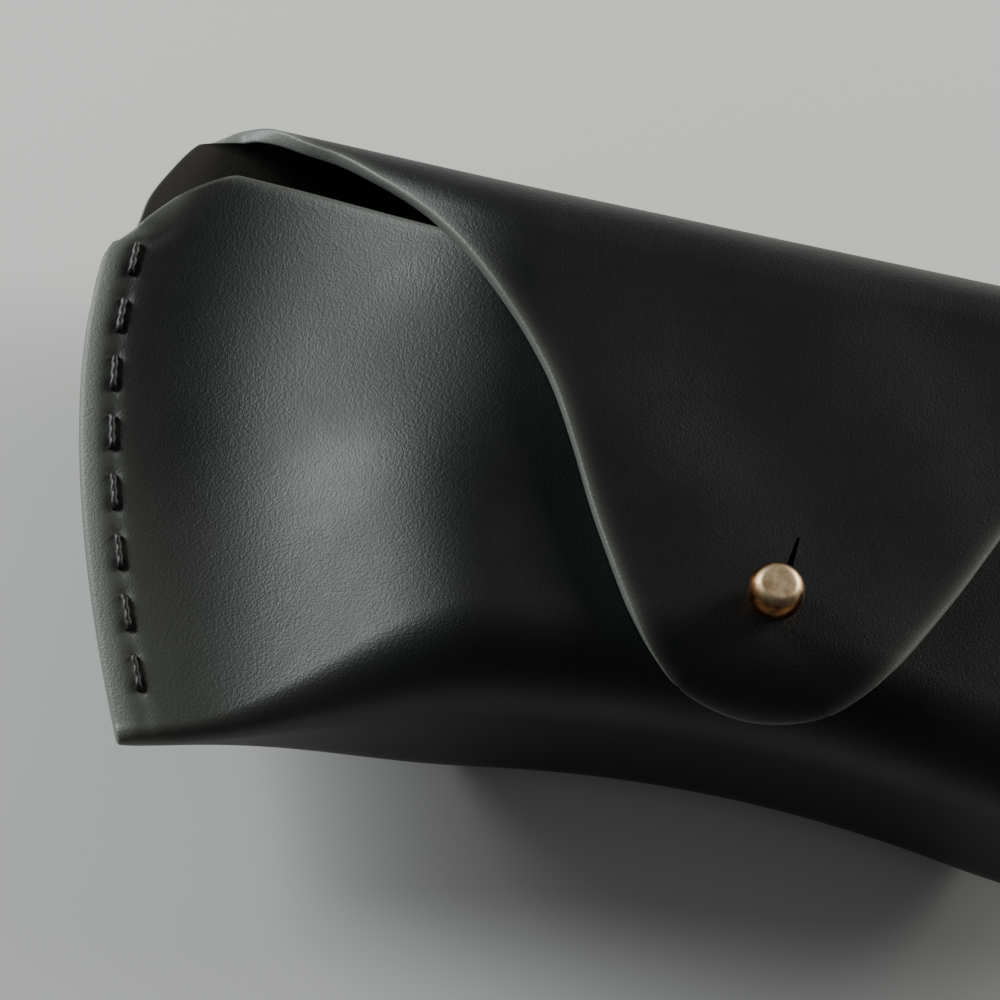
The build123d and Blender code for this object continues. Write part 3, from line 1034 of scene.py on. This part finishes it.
    def cut_keyhole(self, obj: bpy.types.Object) -> None:
        """Cuts the stud's round hole and the slit off its upper right, which narrows and leans."""
        s = self.sizes
        first, last = (
            math.acos((self.slit_from + side * self.slit_width / 2) / self.neck_hole_r)
            for side in (1, -1)
        )
        arc = np.linspace(first, last - 2 * np.pi, 48)
        y0 = s.notch_y - s.stud_drop
        ring = np.stack([self.neck_hole_r * np.cos(arc), self.neck_hole_r * np.sin(arc)], 1)
        lean, tip = self.slit_lean, self.slit_tip / 2
        slit = np.array([(lean - tip, self.slit_end), (lean + tip, self.slit_end)])
        outline = np.concatenate([ring, slit])[::-1] + [0.0, y0]
        top = s.depth + s.lay
        cutter = prism("keyhole", outline, top - 4, top + 4)
        cut(obj, cutter)

    def bend_between(self, obj: bpy.types.Object) -> None:
        """Bakes the piece's placement into its mesh, which is left at the origin."""
        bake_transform(obj)


@dataclass
class Seam:
    """The running stitch of one sewn end: in front between every other pair of holes."""

    side: Side
    pouch: Pouch
    thread_r: float = 0.42
    proud: float = 0.12
    ply: float = 1.5
    step: float = 0.16

    def path(self) -> Array:
        """The thread's route: holes joined in front and behind by turns, with softened bends.

        The corners of a square wave through the holes are sampled evenly, and a running mean
        rounds them.

        Returns:
            N x 3 points, mm, with y from the notch.
        """
        s = self.pouch.sizes
        rise = s.leather + self.proud
        holes = self.pouch.holes() * [self.side.value, 1.0]
        height = s.mid_z + rise * np.where(np.arange(len(holes)) % 2 == 0, 1.0, -1.0)
        starts = np.c_[holes, height]
        ends = np.c_[holes[1:], height[:-1]]
        corners = np.empty((2 * len(holes) - 1, 3))
        corners[0::2], corners[1::2] = starts, ends
        first = np.array([[*holes[0], s.mid_z]])
        last = np.array([[*holes[-1], s.mid_z]])
        corners = np.concatenate([first, corners[:-1], last])
        run = np.concatenate([[0], np.cumsum(np.linalg.norm(np.diff(corners, axis=0), axis=1))])
        at = np.arange(0, run[-1], self.step)
        points = np.stack([np.interp(at, run, corners[:, n]) for n in range(3)], 1)
        window = 5
        padded = np.pad(points, ((window // 2, window // 2), (0, 0)), mode="edge")
        kernel = np.ones(window) / window
        return np.stack([np.convolve(padded[:, n], kernel, "valid") for n in range(3)], 1)

    def build(self, thread: bpy.types.Material) -> bpy.types.Object:
        """Builds the thread and lets it stand for the plain CAD one.

        Args:
            thread: the thread's material.

        Returns:
            The sewn thread.
        """
        path = self.path()
        holes = self.pouch.holes() * [self.side.value, 1.0]
        along = holes[-1] - holes[0]
        across = np.array([along[1], -along[0], 0.0]) / np.hypot(*along)
        side = np.tile(across, (len(path), 1))
        name = self.side.name.lower()
        path[:, 1] += self.pouch.sizes.notch_y
        obj = tube(f"stitching_{name}", path, side, self.thread_r, self.ply)
        dress(obj, thread)
        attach(obj, "case")
        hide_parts(f"seam_thread_{name}")
        return obj


@dataclass
class BallStud:
    """The turned stud that the flap's keyhole buttons over."""

    centre: tuple[float, float]
    base_z: float
    top_z: float
    ball_r: float = 3.5
    flat_r: float = 2.1
    neck_r: float = 1.9
    base_r: float = 3.75
    base_h: float = 0.8
    break_r: float = 0.25

    def profile(self) -> Array:
        """Half profile: foot with broken edges, neck, ball and flat, whose rim is broken too.

        Returns:
            N x 2 points of radius and height, mm.
        """
        ball_z = self.top_z - math.sqrt(self.ball_r**2 - self.flat_r**2)
        low = -math.acos(self.neck_r / self.ball_r)
        high = math.acos(self.flat_r / self.ball_r)
        angle = np.linspace(low, high - 0.06, 30)
        ball = np.stack([self.ball_r * np.cos(angle), ball_z + self.ball_r * np.sin(angle)], 1)
        foot_top, e = self.base_z + self.base_h, self.break_r
        quarter = np.linspace(0, np.pi / 2, 5)
        rim = np.stack([
            self.base_r - e + e * np.cos(quarter), foot_top - e + e * np.sin(quarter)], 1)
        root = np.stack([
            self.neck_r + e - e * np.sin(quarter), foot_top + e - e * np.cos(quarter)], 1)
        low_break = 0.05
        start = np.array([
            [0, self.base_z], [self.base_r - low_break, self.base_z],
            [self.base_r, self.base_z + low_break]])
        crown = np.array([
            [self.flat_r - 0.12, self.top_z - 0.02], [self.flat_r - 0.35, self.top_z],
            [self.flat_r * 0.5, self.top_z - 0.02], [0, self.top_z - 0.03]])
        return np.concatenate([start, rim, root, ball, crown])

    def build(self, brass: bpy.types.Material) -> bpy.types.Object:
        """Builds the stud and lets it stand for the plain CAD one.

        Args:
            brass: the stud's material.

        Returns:
            The stud.
        """
        obj = turned("ball_stud", self.centre, self.profile())
        sharpen(obj, 50.0)
        dress(obj, brass)
        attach(obj, "case")
        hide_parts("stud_head")
        return obj


@dataclass
class Studio:
    """Pale board, soft daylight from the left and the camera, aimed from the notch's height."""

    notch_y: float
    azimuth: float = -5.5
    elevation: float = 65.0
    roll: float = 16.8
    distance: float = 611.15
    lens: float = 182.5
    aim_x: float = -33.7
    aim_drop: float = 31.23
    aim_z: float = 30.0

    def add_camera(self) -> None:
        """Places the camera from its bearing, height angle, roll and distance to its aim."""
        az, el, roll = (math.radians(a) for a in (self.azimuth, self.elevation, self.roll))
        forward = Vector((-math.sin(az) * math.cos(el), math.cos(az) * math.cos(el), -math.sin(el)))
        level = Vector((math.cos(az), math.sin(az), 0))
        above = level.cross(forward)
        right = level * math.cos(roll) + above * math.sin(roll)
        up = above * math.cos(roll) - level * math.sin(roll)
        data = bpy.data.cameras.new("camera")
        data.lens = self.lens
        data.clip_start = 0.01
        camera = bpy.data.objects.new("camera", data)
        turn = Matrix((right, up, -forward)).transposed().to_4x4()
        aim = Vector((self.aim_x, self.notch_y - self.aim_drop, self.aim_z))
        place = (aim - forward * self.distance) * MM
        camera.matrix_world = Matrix.Translation(place) @ turn
        bpy.context.scene.collection.objects.link(camera)
        bpy.context.scene.camera = camera

    def add_floor(self, board: bpy.types.Material) -> None:
        """Lays the board at the height that the case rests on."""
        half = 3000.0
        corners = np.array([(-half, -half), (half, -half), (half, half), (-half, half)])
        floor = prism("board", corners, -10.0, -0.05)
        dress(floor, board)

    def add_light(self, name: str, place: tuple[float, float, float], size: float, power: float,
                  colour: str) -> None:
        """Adds a square soft light that faces the case.

        Args:
            name: the light's name.
            place: its centre, m.
            size: its side, m.
            power: its power, W.
            colour: its sRGB hex colour.
        """
        data = bpy.data.lights.new(name, "AREA")
        data.size = size
        data.energy = power
        data.color = srgb(colour)[:3]
        light = bpy.data.objects.new(name, data)
        light.location = place
        light.rotation_euler = (-Vector(place)).to_track_quat("-Z", "Y").to_euler()
        bpy.context.scene.collection.objects.link(light)

    def build(self) -> None:
        """Sets the room's glow, the lights, the board and the camera."""
        world = bpy.data.worlds.new("room")
        bpy.context.scene.world = world
        world.use_nodes = True
        glow = world.node_tree.nodes["Background"]
        glow.inputs["Color"].default_value = srgb("#e8eaec")
        glow.inputs["Strength"].default_value = 0.10
        self.add_light("window", (-1.0, 0.36, 0.40), 0.45, 16.0, "#eff5f2")
        self.add_light("room", (1.6, 1.3, 0.6), 0.9, 62.0, "#fbf8f2")
        self.add_floor(PaintedBoard().build())
        self.add_camera()


def main() -> None:
    """Builds the case on its frame and reports each piece."""
    logging.basicConfig(level=logging.INFO, format="%(name)s: %(message)s")
    sizes = CaseSizes.from_frame()
    Studio(sizes.notch_y).build()
    columns = Columns()
    hide = DyedHide().build()
    thread = WaxedThread().build()
    top_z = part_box("stud_head")[1].z / MM
    brass = AgedBrass("aged_brass", top_z).build()
    pouch = Pouch(sizes, columns)
    flap = Flap(sizes, columns, pouch)
    stud = BallStud((0.0, sizes.notch_y - sizes.stud_drop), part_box("stud_head")[0].z / MM, top_z)
    pieces = [pouch.build(hide), flap.build_back(hide), flap.build_front(hide), stud.build(brass)]
    pieces += [Seam(side, pouch).build(thread) for side in Side]
    dress(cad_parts["stud_screw"], brass)
    for piece in pieces:
        LOG.info("%s: %d faces", piece.name, len(piece.data.polygons))


if __name__ == "__main__":
    main()
